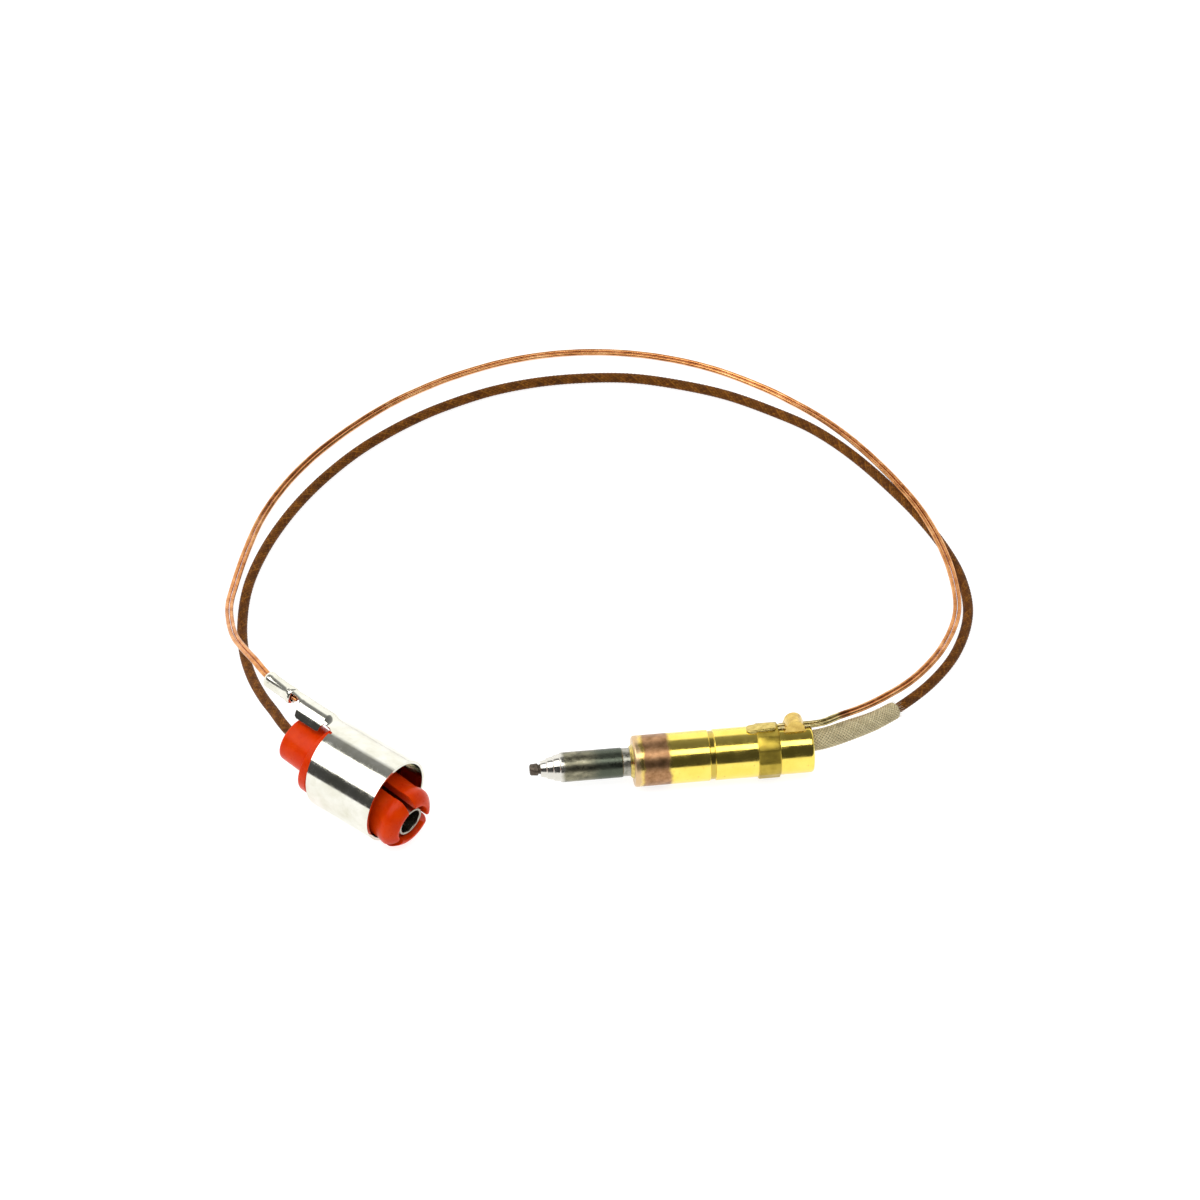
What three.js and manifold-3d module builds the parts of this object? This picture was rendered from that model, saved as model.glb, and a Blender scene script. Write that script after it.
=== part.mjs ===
// Gas-hob thermocouple: a brass-bodied flame probe, an insulated lead and a pair of bare copper
// ground wires, ending in a coaxial push-on plug. Millimetres, +Z up.
// The probe lies along X with its hot tip at -X, and the leads make one loop on the +Y side.
// The origin is under the middle of the probe, on the surface that everything rests on.

import * as THREE from 'three';
import { mergeVertices } from 'three/addons/utils/BufferGeometryUtils.js';
import Module from 'manifold-3d';

const wasm = await Module();
wasm.setup();

// ---------------------------------------------------------------- driving dimensions: probe
// Stations run back from the face of the weld bead.
const PROBE_LENGTH = 34.2;
const AXIS_HEIGHT = 3.25;
const ROUND_SIDES = 40;

const BEAD_END = 1.3;
const BEAD_RADIUS = 0.8;
const CONE_END = 3.9;
const BARREL_END = 11.1;
const BARREL_RADIUS = 1.8;
const NECK_RADIUS = 1.7;
const SHEATH_BORE = 0.7;
const SHEATH_END = 17;

const BODY_START = 12.5;
const FRONT_RADIUS = 3.1;
const FRONT_CHAMFER = 0.2;
const GROOVE_START = 21.6;
const GROOVE_WIDTH = 0.7;
const GROOVE_DEPTH = 0.15;
const COLLAR_START = 27.5;
const COLLAR_END = 30.1;
const COLLAR_ROUND_RADIUS = 3.36;
const REAR_RADIUS = 3.08;
const REAR_CORNER = 0.6;
const SHEATH_SEAT_RADIUS = 1.8;
const CAVITY_START = 17.4;
const CAVITY_RADIUS = 2.4;
const BRAZE_OUTER_RADIUS = 2.2;

const ELEMENT_RADIUS = 0.45;
const ELEMENT_START = 1.6;
const ELEMENT_END = 21.8;
const CORE_RADIUS = 0.35;
const FERRULE = { start: 19, end: 25, bore: 0.6, radius: 1.1 };
const SPLICE_TUBE = { start: 17.9, end: 30.5, bore: 1.4, radius: 2.1 };
const REAR_BUSH = { start: 31.2, end: 33.9, radius: 2.3, bore: 1.5, boreRise: 0.73 };

// The wire ends, the braze and the lug sit this far round the body from its top.
const WIRE_SIDE = THREE.MathUtils.degToRad(-15);
const LEDGE = { start: 26.3, end: 29.9, width: 1.9, low: 3.42, top: 3.72 };
const LUG = { start: 30.9, end: 33.3, width: 2.1, top: 4.4 };
const WIRE_CHANNEL = { start: 30, width: 1.35, low: 2.78, high: 3.55 };

// ---------------------------------------------------------------- driving dimensions: leads
const LEAD_RADIUS = 0.65;
const WIRE_RADIUS = 0.25;
const WIRE_SPACING = 0.54;
const CORD_SIDES = 8;
const SLEEVE = { radius: 1.3, bore: 0.85 };

// The insulated lead, from inside the plug's boss round the loop into the rear of the body.
const LEAD_ROUTE = [
  [-42.4, 3.7, 5.5], [-44.4, 5.9, 5.8], [-45.2, 7, 5.8], [-46.1, 9, 5.5], [-46.9, 11.6, 4.8],
  [-48.1, 15.6, 3.5], [-49.2, 20.6, 2.1], [-49.8, 25.8, 1.1], [-49.7, 31.1, 0.7],
  [-48.6, 37.4, 0.65], [-46.3, 43.4, 0.65], [-43.3, 48.8, 0.65], [-40, 53.4, 0.65],
  [-36.4, 57.4, 0.65], [-32.7, 60.8, 0.65], [-29, 63.5, 0.65], [-25.4, 65.7, 0.65],
  [-21.8, 67.5, 0.65], [-15.1, 69.9, 0.65], [-8.7, 71, 0.65], [-2.5, 71.1, 0.65],
  [3.5, 70.4, 0.65], [9.5, 68.5, 0.65], [15.6, 65.7, 0.65], [21.7, 61.5, 0.65],
  [25.2, 58.6, 0.65], [28.2, 55.2, 0.65], [31, 51.2, 0.65], [33.8, 46.4, 0.65],
  [36.5, 41.1, 0.65], [38.8, 35.2, 0.65], [40.2, 29.2, 0.65], [40.1, 22.9, 0.65],
  [37.7, 16.5, 0.8], [33.6, 10.8, 1.4], [28.2, 5.8, 2.3], [25.2, 3.7, 2.9], [21.7, 1.9, 3.5],
  [18.9, 0.7, 3.85], [17.1, 0.3, 3.95], [15.5, 0.2, 3.95], [14, 0.15, 3.85],
];

// The middle line of the ground-wire pair, from the plug's crimp barrel over the insulated lead,
// round the loop, over the lead once more, and forward through the lug on the body.
const WIRE_ROUTE = [
  [-44, 8.45, 9.96], [-45.06, 9.87, 9.8], [-46.3, 11.55, 9.63], [-47.6, 13.8, 9.4],
  [-48.7, 16.6, 8.8], [-49.8, 20, 7.4], [-50.8, 24, 5.6], [-51.2, 28.5, 3.8], [-51.1, 32.9, 2.4],
  [-50.2, 37.6, 1.2], [-48.4, 44, 0.5], [-46, 50.2, 0.3], [-42.8, 55.6, 0.3], [-39.1, 60.2, 0.3],
  [-35.3, 63.9, 0.3], [-31.4, 67.1, 0.3], [-27.5, 69.8, 0.3], [-23.6, 71.9, 0.3],
  [-19.8, 73.6, 0.3], [-12.6, 75.8, 0.3], [-5.6, 76.6, 0.3], [1.2, 76.1, 0.3], [7.8, 74.4, 0.3],
  [14.3, 71.4, 0.3], [20.6, 66.9, 0.3], [23.7, 63.8, 0.5], [26.7, 60, 1], [29.5, 55.6, 1.55],
  [32.1, 51, 1.8], [34.6, 46.1, 1.8], [36.8, 40.8, 1.75], [38.3, 34.8, 1.75], [39, 28.3, 1.75],
  [38.5, 22, 1.8], [35.6, 15.6, 2.3], [31.2, 10.1, 3.1], [27.1, 6.6, 4], [23.6, 4.1, 4.9],
  [20.8, 2.5, 5.6], [18.6, 1.2, 6.1], [17.1, 0.85, 6.28], [15.6, 0.82, 6.3], [14.2, 0.82, 6.3],
  [13, 0.82, 6.3],
];

// ---------------------------------------------------------------- driving dimensions: plug
// Plug stations run forward from the shell's front rim, so its parts lie at negative x.
const PLUG_RIM = [-33.6, -5.1, 5.3];
const PLUG_HEADING = THREE.MathUtils.degToRad(-44.7);
const PLUG_ROLL = THREE.MathUtils.degToRad(-27);
const INSULATOR_TILT = THREE.MathUtils.degToRad(6);
const TILT_STATION = -10.5;

const SHELL = { length: 10, radius: 5.3, bore: 4.95 };
const STRAP = { end: -15.1, halfAngle: 0.34, wallStart: -11.6, wallLow: 3.7 };
const STRAP_NECK = { start: -15, end: -18, halfWidth: 0.85 };
const BARREL = { start: -17.6, length: 4.7, radius: 1, bore: 0.7, height: 5.2 };
const BARREL_YAW = -0.17;
const BARREL_PITCH = -0.01;
const FLANGE = { front: -10.05, back: -11.2, radius: 4.6 };
const CORE_BLOCK = { front: -5, radius: 3.8, collarFront: -8.6, collarRadius: 4.5 };
const BOSS = { back: -15.9, radius: 3 };
const LEAD_HOLE = 0.9;
const CONTACT_SEAT = { back: -9.5, bore: 2.1 };
const CONTACT = { tip: 2.9, back: -9.2, radius: 1.9, bore: 1.55, floor: -6 };
const CONTACT_TAIL = { back: -11.6, radius: 0.75, bore: 0.5 };
const FINGER = { root: -4.7, tip: 3.3, bore: 2.35, radius: 3.75, barb: 3.95, slot: 1.1 };
const FIRST_SLOT_ANGLE = THREE.MathUtils.degToRad(3);
const FINGER_COUNT = 3;

// ---------------------------------------------------------------- shape helpers
const X = new THREE.Vector3(1, 0, 0);
const Y = new THREE.Vector3(0, 1, 0);
const Z = new THREE.Vector3(0, 0, 1);
const OUTLINE_ALONG_X = new THREE.Matrix4().makeBasis(Y, Z, X);
const OUTLINE_ALONG_Y = new THREE.Matrix4().makeBasis(X, Z, Y.clone().negate());

function solidFrom(geometry) {
  const bare = geometry.clone();
  bare.deleteAttribute('normal');
  bare.deleteAttribute('uv');
  const merged = mergeVertices(bare);
  const corners = [];
  const index = merged.index.array;
  for (let i = 0; i < index.length; i += 3) {
    const [a, b, c] = [index[i], index[i + 1], index[i + 2]];
    if (a !== b && b !== c && c !== a) corners.push(a, b, c);
  }
  const vertProperties = new Float32Array(merged.attributes.position.array);
  const asMesh = (triVerts) => new wasm.Mesh({ numProp: 3, vertProperties, triVerts });
  const solid = new wasm.Manifold(asMesh(new Uint32Array(corners)));
  if (solid.volume() > 0) return solid;
  return new wasm.Manifold(asMesh(new Uint32Array(corners.reverse())));
}

function geometryFrom(solid) {
  const { vertProperties, triVerts } = solid.getMesh();
  const geometry = new THREE.BufferGeometry();
  geometry.setAttribute('position', new THREE.BufferAttribute(vertProperties, 3));
  geometry.setIndex(new THREE.BufferAttribute(triVerts, 1));
  geometry.computeVertexNormals();
  return geometry;
}

// A solid turned about X from [station, radius] points that start and end on the axis or close.
function turned(profile, sides = ROUND_SIDES) {
  const points = profile.map(([station, radius]) => new THREE.Vector2(radius, station));
  const lathe = new THREE.LatheGeometry(points, sides);
  return solidFrom(lathe.rotateZ(-Math.PI / 2));
}

function rod(start, end, radius, sides) {
  return turned([[start, 0], [start, radius], [end, radius], [end, 0]], sides);
}

function tube(start, end, bore, radius, sides) {
  const profile = [[start, bore], [start, radius], [end, radius], [end, bore], [start, bore]];
  return turned(profile, sides);
}

function shapeOf(points) {
  return new THREE.Shape(points.map(([a, b]) => new THREE.Vector2(a, b)));
}

// An outline in the YZ plane, run along X between two stations.
function alongX(points, start, end) {
  const options = { depth: end - start, bevelEnabled: false };
  const geometry = new THREE.ExtrudeGeometry(shapeOf(points), options);
  return solidFrom(geometry.applyMatrix4(OUTLINE_ALONG_X).translate(start, 0, 0));
}

// An outline in the XZ plane, run along Y and centred on it.
function acrossY(points, width) {
  const options = { depth: width, bevelEnabled: false };
  const geometry = new THREE.ExtrudeGeometry(shapeOf(points), options);
  return solidFrom(geometry.applyMatrix4(OUTLINE_ALONG_Y).translate(0, width / 2, 0));
}

function arc(centre, radius, from, to, steps) {
  const points = [];
  for (let i = 0; i <= steps; i++) {
    const angle = from + ((to - from) * i) / steps;
    points.push([centre[0] + radius * Math.cos(angle), centre[1] + radius * Math.sin(angle)]);
  }
  return points;
}

function part(name, shape, color, roughness, metalness) {
  const geometry = shape instanceof THREE.BufferGeometry ? shape : geometryFrom(shape);
  const material = new THREE.MeshStandardMaterial({ color, roughness, metalness });
  const mesh = new THREE.Mesh(geometry, material);
  mesh.name = name;
  return mesh;
}

// ---------------------------------------------------------------- probe
function hotJunctionBead() {
  const dome = arc([BEAD_RADIUS * 0.8, 0], BEAD_RADIUS * 0.8, Math.PI, Math.PI / 2, 5);
  return turned([...dome, [BEAD_END, BEAD_RADIUS], [BEAD_END, 0]], 24);
}

// Three turned steps make the nose, then comes the heat-tinted barrel and the neck.
function sensingSheath() {
  const profile = [
    [BEAD_END, SHEATH_BORE], [BEAD_END, 0.95], [2, 1.15], [2.15, 1.3], [2.8, 1.45], [2.95, 1.55],
    [CONE_END - 0.3, 1.7], [CONE_END, BARREL_RADIUS], [BARREL_END, BARREL_RADIUS],
    [BARREL_END + 0.2, NECK_RADIUS], [SHEATH_END, NECK_RADIUS], [SHEATH_END, SHEATH_BORE],
    [BEAD_END, SHEATH_BORE],
  ];
  return turned(profile, 32);
}

function frontBrazeRing() {
  const bore = NECK_RADIUS + 0.1;
  const front = BODY_START - 0.4;
  const profile = [
    [front, bore], [front, bore + 0.1], [BODY_START - 0.15, BRAZE_OUTER_RADIUS - 0.2],
    [BODY_START, BRAZE_OUTER_RADIUS], [BODY_START, bore], [front, bore],
  ];
  return turned(profile, 32);
}

function brassBody() {
  const rearCorner = arc(
    [PROBE_LENGTH - REAR_CORNER, REAR_RADIUS - REAR_CORNER], REAR_CORNER, Math.PI / 2, 0, 4);
  const grooveEnd = GROOVE_START + GROOVE_WIDTH;
  const outside = turned([
    [BODY_START, 0], [BODY_START, FRONT_RADIUS - FRONT_CHAMFER],
    [BODY_START + FRONT_CHAMFER, FRONT_RADIUS], [GROOVE_START, FRONT_RADIUS],
    [GROOVE_START, FRONT_RADIUS - GROOVE_DEPTH], [grooveEnd, FRONT_RADIUS - GROOVE_DEPTH],
    [grooveEnd, FRONT_RADIUS], [COLLAR_START, FRONT_RADIUS], [COLLAR_END, FRONT_RADIUS],
    [COLLAR_END, REAR_RADIUS], ...rearCorner, [PROBE_LENGTH, 0],
  ]);
  const acrossCorners = AXIS_HEIGHT / Math.cos(Math.PI / 6);
  const hexagon = arc([0, 0], acrossCorners, 0, (5 / 3) * Math.PI, 5);
  const collar = alongX(hexagon, COLLAR_START, COLLAR_END)
    .intersect(rod(COLLAR_START - 1, COLLAR_END + 1, COLLAR_ROUND_RADIUS, 72));
  const channel = turnedToWires(wireChannel(WIRE_CHANNEL.start, PROBE_LENGTH + 1));
  return outside.add(collar)
    .subtract(rod(BODY_START - 1, CAVITY_START + 1, SHEATH_SEAT_RADIUS))
    .subtract(rod(CAVITY_START, PROBE_LENGTH + 1, CAVITY_RADIUS))
    .subtract(channel);
}

// The slot that the two ground wires lie in, side by side, along the top of the body.
function wireChannel(start, end) {
  const half = WIRE_CHANNEL.width / 2;
  const outline = [
    [-half, WIRE_CHANNEL.low], [half, WIRE_CHANNEL.low],
    [half, WIRE_CHANNEL.high], [-half, WIRE_CHANNEL.high],
  ];
  return alongX(outline, start, end);
}

function turnedToWires(solid) {
  return solid.rotate([THREE.MathUtils.radToDeg(WIRE_SIDE), 0, 0]);
}

function rearBush() {
  const hole = rod(REAR_BUSH.start - 1, REAR_BUSH.end + 1, REAR_BUSH.bore, 32);
  return rod(REAR_BUSH.start, REAR_BUSH.end, REAR_BUSH.radius)
    .subtract(turnedToWires(hole.translate([0, 0, REAR_BUSH.boreRise])));
}

// The pad of braze metal that holds the ends of the ground wires on the collar.
function groundWireBraze() {
  const side = [
    [LEDGE.start, LEDGE.low], [LEDGE.start + 0.3, LEDGE.top - 0.1],
    [LEDGE.start + 0.7, LEDGE.top], [LEDGE.end, LEDGE.top], [LEDGE.end, LEDGE.low],
  ];
  return turnedToWires(acrossY(side, LEDGE.width));
}

// A rounded tab over the ground wires, with a slot under it that they pass through.
function copperClampLug() {
  const middle = (LUG.start + LUG.end) / 2;
  const capRadius = (LUG.end - LUG.start) / 2;
  const shoulder = LUG.top - capRadius;
  const side = [
    [LUG.start, REAR_RADIUS - 1], [LUG.end, REAR_RADIUS - 1],
    ...arc([middle, shoulder], capRadius, 0, Math.PI, 10),
  ];
  const tab = acrossY(side, LUG.width)
    .subtract(rod(LUG.start - 1, LUG.end + 1, REAR_RADIUS + 0.1, 72))
    .subtract(wireChannel(LUG.start - 1, LUG.end + 1));
  return turnedToWires(tab);
}

function buildProbe() {
  const probe = new THREE.Group();
  probe.position.set(-PROBE_LENGTH / 2, 0, AXIS_HEIGHT);
  const ferrule = tube(FERRULE.start, FERRULE.end, FERRULE.bore, FERRULE.radius, 16);
  const splice = tube(SPLICE_TUBE.start, SPLICE_TUBE.end, SPLICE_TUBE.bore, SPLICE_TUBE.radius, 24);
  probe.add(
    part('hot_junction_bead', hotJunctionBead(), 0x3a3230, 0.6, 0.7),
    part('sensing_sheath', sensingSheath(), 0x4b4d48, 0.35, 0.9),
    part('thermoelement_wire', rod(ELEMENT_START, ELEMENT_END, ELEMENT_RADIUS, 12), 0x9a948a, 0.4, 1),
    part('front_braze_ring', frontBrazeRing(), 0xc9c3b4, 0.3, 1),
    part('brass_body', brassBody(), 0xc9a23c, 0.25, 1),
    part('splice_insulator', splice, 0xe6e0d2, 0.8, 0),
    part('core_splice_ferrule', ferrule, 0xb08850, 0.35, 1),
    part('lead_core_probe_end', rod(22.2, 30.6, CORE_RADIUS, 12), 0xb8713c, 0.35, 1),
    part('rear_insulating_bush', rearBush(), 0xd8d2c2, 0.85, 0),
    part('ground_wire_braze', groundWireBraze(), 0xb9963f, 0.4, 1),
    part('copper_clamp_lug', copperClampLug(), 0xc9a23c, 0.3, 1),
  );
  return probe;
}

// ---------------------------------------------------------------- leads
function smoothCurve(route) {
  const points = route.map((point) => new THREE.Vector3(...point));
  return new THREE.CatmullRomCurve3(points, false, 'centripetal');
}

function circleShape(radius, sides) {
  return shapeOf(arc([0, 0], radius, 0, 2 * Math.PI * (1 - 1 / sides), sides - 1));
}

function cord(route, shape, steps) {
  const options = { steps, bevelEnabled: false, extrudePath: smoothCurve(route) };
  return solidFrom(new THREE.ExtrudeGeometry(shape, options));
}

// The route moved sideways on the level, for one wire of the pair.
function besideRoute(route, offset) {
  return route.map(([x, y, z], i) => {
    const before = route[Math.max(i - 1, 0)];
    const after = route[Math.min(i + 1, route.length - 1)];
    const along = new THREE.Vector2(after[0] - before[0], after[1] - before[1]).normalize();
    return [x - along.y * offset, y + along.x * offset, z];
  });
}

// The braided glass sleeve over the lead's last stretch, bored to clear it.
function glassFibreSleeve() {
  const route = LEAD_ROUTE.slice(-7, -1);
  const shape = circleShape(SLEEVE.radius, 12);
  shape.holes.push(circleShape(SLEEVE.bore, 12));
  return cord(route, shape, 8);
}

function buildLeads() {
  const leads = new THREE.Group();
  const lead = cord(LEAD_ROUTE, circleShape(LEAD_RADIUS, CORD_SIDES), 80);
  leads.add(
    part('insulated_lead', lead, 0x663a1c, 0.7, 0),
    part('glass_fibre_sleeve', glassFibreSleeve(), 0xbfb79a, 0.85, 0),
  );
  [['ground_wire_a', 1], ['ground_wire_b', -1]].forEach(([name, side]) => {
    const route = besideRoute(WIRE_ROUTE, (side * WIRE_SPACING) / 2);
    const wire = cord(route, circleShape(WIRE_RADIUS, CORD_SIDES), 80);
    leads.add(part(name, wire, 0xb8713c, 0.3, 1));
  });
  return leads;
}

// ---------------------------------------------------------------- plug
// The strap runs back from the shell over the boss, as a channel with its sides turned down.
function strapSolid() {
  const half = STRAP.halfAngle;
  const up = Math.PI / 2;
  const outline = [
    ...arc([0, 0], SHELL.radius, up - half, up + half, 8),
    ...arc([0, 0], SHELL.bore, up + half, up - half, 8),
  ];
  const top = alongX(outline, STRAP.end, -SHELL.length + 0.5);
  const outer = SHELL.radius * Math.sin(half);
  const inner = outer - (SHELL.radius - SHELL.bore);
  const wallTop = SHELL.radius * Math.cos(half);
  let strap = top;
  [1, -1].forEach((side) => {
    const wall = [
      [side * inner, STRAP.wallLow], [side * outer, STRAP.wallLow],
      [side * outer, wallTop], [side * inner, wallTop],
    ];
    const outlineOfWall = side > 0 ? wall : wall.reverse();
    strap = strap.add(alongX(outlineOfWall, STRAP.end, STRAP.wallStart));
  });
  return strap;
}

// The tongue that rises from the strap to the top of the crimp barrel, and the barrel round the
// two ground wires.
function crimpBarrelSolid() {
  const sheet = SHELL.radius - SHELL.bore;
  const crown = SHELL.radius - 0.05;
  const top = BARREL.height + BARREL.radius - 0.1;
  const tongue = acrossY([
    [STRAP_NECK.end, top - sheet], [STRAP_NECK.start, SHELL.bore],
    [STRAP_NECK.start + 0.6, SHELL.bore], [STRAP_NECK.start + 0.6, crown],
    [STRAP_NECK.start, crown], [STRAP_NECK.end, top],
  ], 2 * STRAP_NECK.halfWidth);
  const aim = (solid) => solid
    .rotate([0, THREE.MathUtils.radToDeg(BARREL_PITCH), THREE.MathUtils.radToDeg(BARREL_YAW)])
    .translate([BARREL.start, 0, BARREL.height]);
  const barrel = aim(rod(-BARREL.length, 0, BARREL.radius, 24));
  const hole = aim(rod(-BARREL.length - 1, 1.5, BARREL.bore, 24));
  return tongue.add(barrel).subtract(hole);
}

function plugShell() {
  const cylinder = tube(-SHELL.length, 0, SHELL.bore, SHELL.radius, 48);
  return cylinder.add(strapSolid()).add(crimpBarrelSolid());
}

function plugInsulator() {
  const outside = turned([
    [BOSS.back, 0], [BOSS.back, BOSS.radius - 0.4], [BOSS.back + 0.4, BOSS.radius],
    [FLANGE.back, BOSS.radius], [FLANGE.back, FLANGE.radius], [FLANGE.front, FLANGE.radius],
    [FLANGE.front, CORE_BLOCK.collarRadius], [CORE_BLOCK.collarFront, CORE_BLOCK.collarRadius],
    [CORE_BLOCK.collarFront, CORE_BLOCK.radius], [CORE_BLOCK.front, CORE_BLOCK.radius],
    [CORE_BLOCK.front, 0],
  ]);
  return outside
    .subtract(rod(BOSS.back - 1, CORE_BLOCK.front + 1, LEAD_HOLE, 24))
    .subtract(rod(CONTACT_SEAT.back, CORE_BLOCK.front + 1, CONTACT_SEAT.bore, 32));
}

// One of the sprung fingers that grip the socket: a third of a tube between two slots.
function snapFinger(index) {
  const ring = turned([
    [FINGER.root, FINGER.bore], [FINGER.root, FINGER.radius], [FINGER.tip - 2.6, FINGER.radius],
    [FINGER.tip - 1.8, FINGER.barb], [FINGER.tip - 0.9, FINGER.barb],
    [FINGER.tip, FINGER.radius - 0.5], [FINGER.tip, FINGER.bore], [FINGER.root, FINGER.bore],
  ], 48);
  const third = (2 * Math.PI) / FINGER_COUNT;
  const middle = FIRST_SLOT_ANGLE + third * (index + 0.5);
  const apexRadius = FINGER.slot / 2 / Math.sin(third / 2);
  const apex = [apexRadius * Math.cos(middle), apexRadius * Math.sin(middle)];
  const reach = 14;
  const edge = (angle) => [apex[0] + reach * Math.cos(angle), apex[1] + reach * Math.sin(angle)];
  const wedge = [apex, edge(middle - third / 2), edge(middle + third / 2)];
  return ring.intersect(alongX(wedge, FINGER.root - 1, FINGER.tip + 1));
}

// The socket for the centre pin, with a tail crimped on the lead's core.
function centerContact() {
  return turned([
    [CONTACT_TAIL.back, CONTACT_TAIL.bore], [CONTACT_TAIL.back, CONTACT_TAIL.radius],
    [CONTACT.back, CONTACT_TAIL.radius], [CONTACT.back, CONTACT.radius],
    [CONTACT.tip - 0.2, CONTACT.radius], [CONTACT.tip, CONTACT.radius - 0.15],
    [CONTACT.tip, CONTACT.bore + 0.1], [CONTACT.tip - 0.2, CONTACT.bore],
    [CONTACT.floor, CONTACT.bore], [CONTACT.floor, CONTACT_TAIL.bore],
    [CONTACT_TAIL.back, CONTACT_TAIL.bore],
  ], 32);
}

function buildPlug() {
  const plug = new THREE.Group();
  plug.position.set(...PLUG_RIM);
  plug.rotation.z = PLUG_HEADING;
  const rolled = new THREE.Group();
  rolled.rotation.x = PLUG_ROLL;
  plug.add(rolled);
  rolled.add(part('plug_shell', plugShell(), 0xd6d4cc, 0.15, 1));

  const pivot = new THREE.Group();
  pivot.position.x = TILT_STATION;
  pivot.rotation.y = INSULATOR_TILT;
  rolled.add(pivot);
  const tilted = new THREE.Group();
  tilted.position.x = -TILT_STATION;
  pivot.add(tilted);
  tilted.add(
    part('plug_insulator', plugInsulator(), 0xe04412, 0.4, 0),
    part('center_contact', centerContact(), 0xc4c2b8, 0.25, 1),
    part('lead_core_plug_end', rod(-12.3, -8.5, CORE_RADIUS, 12), 0xb8713c, 0.35, 1),
  );
  for (let index = 0; index < FINGER_COUNT; index++) {
    tilted.add(part(`snap_finger_${index + 1}`, snapFinger(index), 0xe04412, 0.4, 0));
  }
  return plug;
}

const group = new THREE.Group();
group.add(buildProbe(), buildLeads(), buildPlug());

export default group;
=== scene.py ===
"""The looks of a gas-hob thermocouple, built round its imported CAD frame.

Shapes are worked out in millimetres in the CAD's own frames, one for the probe and one for the
plug, and each is placed in metres where the CAD has it.
"""

import math
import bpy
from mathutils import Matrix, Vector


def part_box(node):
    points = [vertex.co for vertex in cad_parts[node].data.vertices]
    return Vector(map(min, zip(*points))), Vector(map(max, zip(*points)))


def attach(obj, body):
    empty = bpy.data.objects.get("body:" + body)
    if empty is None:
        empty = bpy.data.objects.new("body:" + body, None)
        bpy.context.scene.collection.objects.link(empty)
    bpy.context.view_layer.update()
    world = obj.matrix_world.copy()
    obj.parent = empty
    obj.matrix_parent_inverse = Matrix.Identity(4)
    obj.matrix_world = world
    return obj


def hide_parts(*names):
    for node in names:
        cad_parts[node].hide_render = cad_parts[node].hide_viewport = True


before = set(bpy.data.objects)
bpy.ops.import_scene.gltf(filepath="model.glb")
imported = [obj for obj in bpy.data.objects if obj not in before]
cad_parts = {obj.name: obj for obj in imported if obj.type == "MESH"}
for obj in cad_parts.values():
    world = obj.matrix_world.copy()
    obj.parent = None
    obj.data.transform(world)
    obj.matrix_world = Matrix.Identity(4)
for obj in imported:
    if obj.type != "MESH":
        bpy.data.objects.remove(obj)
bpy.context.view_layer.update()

from types import SimpleNamespace as Sizes

import bmesh
import bpy
import numpy as np
from mathutils import Matrix, Vector, noise

MM = 0.001
TURN = 2 * math.pi
ROOT = "thermocouple"

# -------- camera, millimetres
AIM = (-5.05, 30.94, 0.0)
DISTANCE = 650.0
AZIMUTH = math.radians(-6.5)
ELEVATION = math.radians(45)
LENS = 156.2
SENSOR = 36.0

# -------- cords, millimetres
LEAD_RADIUS = 0.65
LEAD_ROUTE = [
    (-42.4, 3.7, 5.5), (-44.4, 5.9, 5.8), (-45.2, 7, 5.8), (-46.1, 9, 5.5), (-46.9, 11.6, 4.8),
    (-48.1, 15.6, 3.5), (-49.2, 20.6, 2.1), (-49.8, 25.8, 1.1), (-49.7, 31.1, 0.7),
    (-48.6, 37.4, 0.65), (-46.3, 43.4, 0.65), (-43.3, 48.8, 0.65), (-40, 53.4, 0.65),
    (-36.4, 57.4, 0.65), (-32.7, 60.8, 0.65), (-29, 63.5, 0.65), (-25.4, 65.7, 0.65),
    (-21.8, 67.5, 0.65), (-15.1, 69.9, 0.65), (-8.7, 71, 0.65), (-2.5, 71.1, 0.65),
    (3.5, 70.4, 0.65), (9.5, 68.5, 0.65), (15.6, 65.7, 0.65), (21.7, 61.5, 0.65),
    (25.2, 58.6, 0.65), (28.2, 55.2, 0.65), (31, 51.2, 0.65), (33.8, 46.4, 0.65),
    (36.5, 41.1, 0.65), (38.8, 35.2, 0.65), (40.2, 29.2, 0.65), (40.1, 22.9, 0.65),
    (37.7, 16.5, 0.8), (33.6, 10.8, 1.4), (28.2, 5.8, 2.3), (25.2, 3.7, 2.9), (21.7, 1.9, 3.5),
    (18.9, 0.7, 3.85), (17.1, 0.3, 3.95), (15.5, 0.2, 3.95), (14, 0.15, 3.85),
]
LEAD_WEAVE = {"sides": 48, "yarns": 10, "cell": 0.5, "depth": 0.07}
SLEEVE_POINTS = slice(-7, -1)
SLEEVE_RADIUS = 1.3
SLEEVE_FREE_RADIUS = 1.12
FRAY = Sizes(at_end=34, along=12, radius=0.022)
GOLDEN_ANGLE = 2.399963
SLEEVE_WEAVE = {"sides": 128, "yarns": 18, "cell": 0.42, "depth": 0.16}

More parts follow.
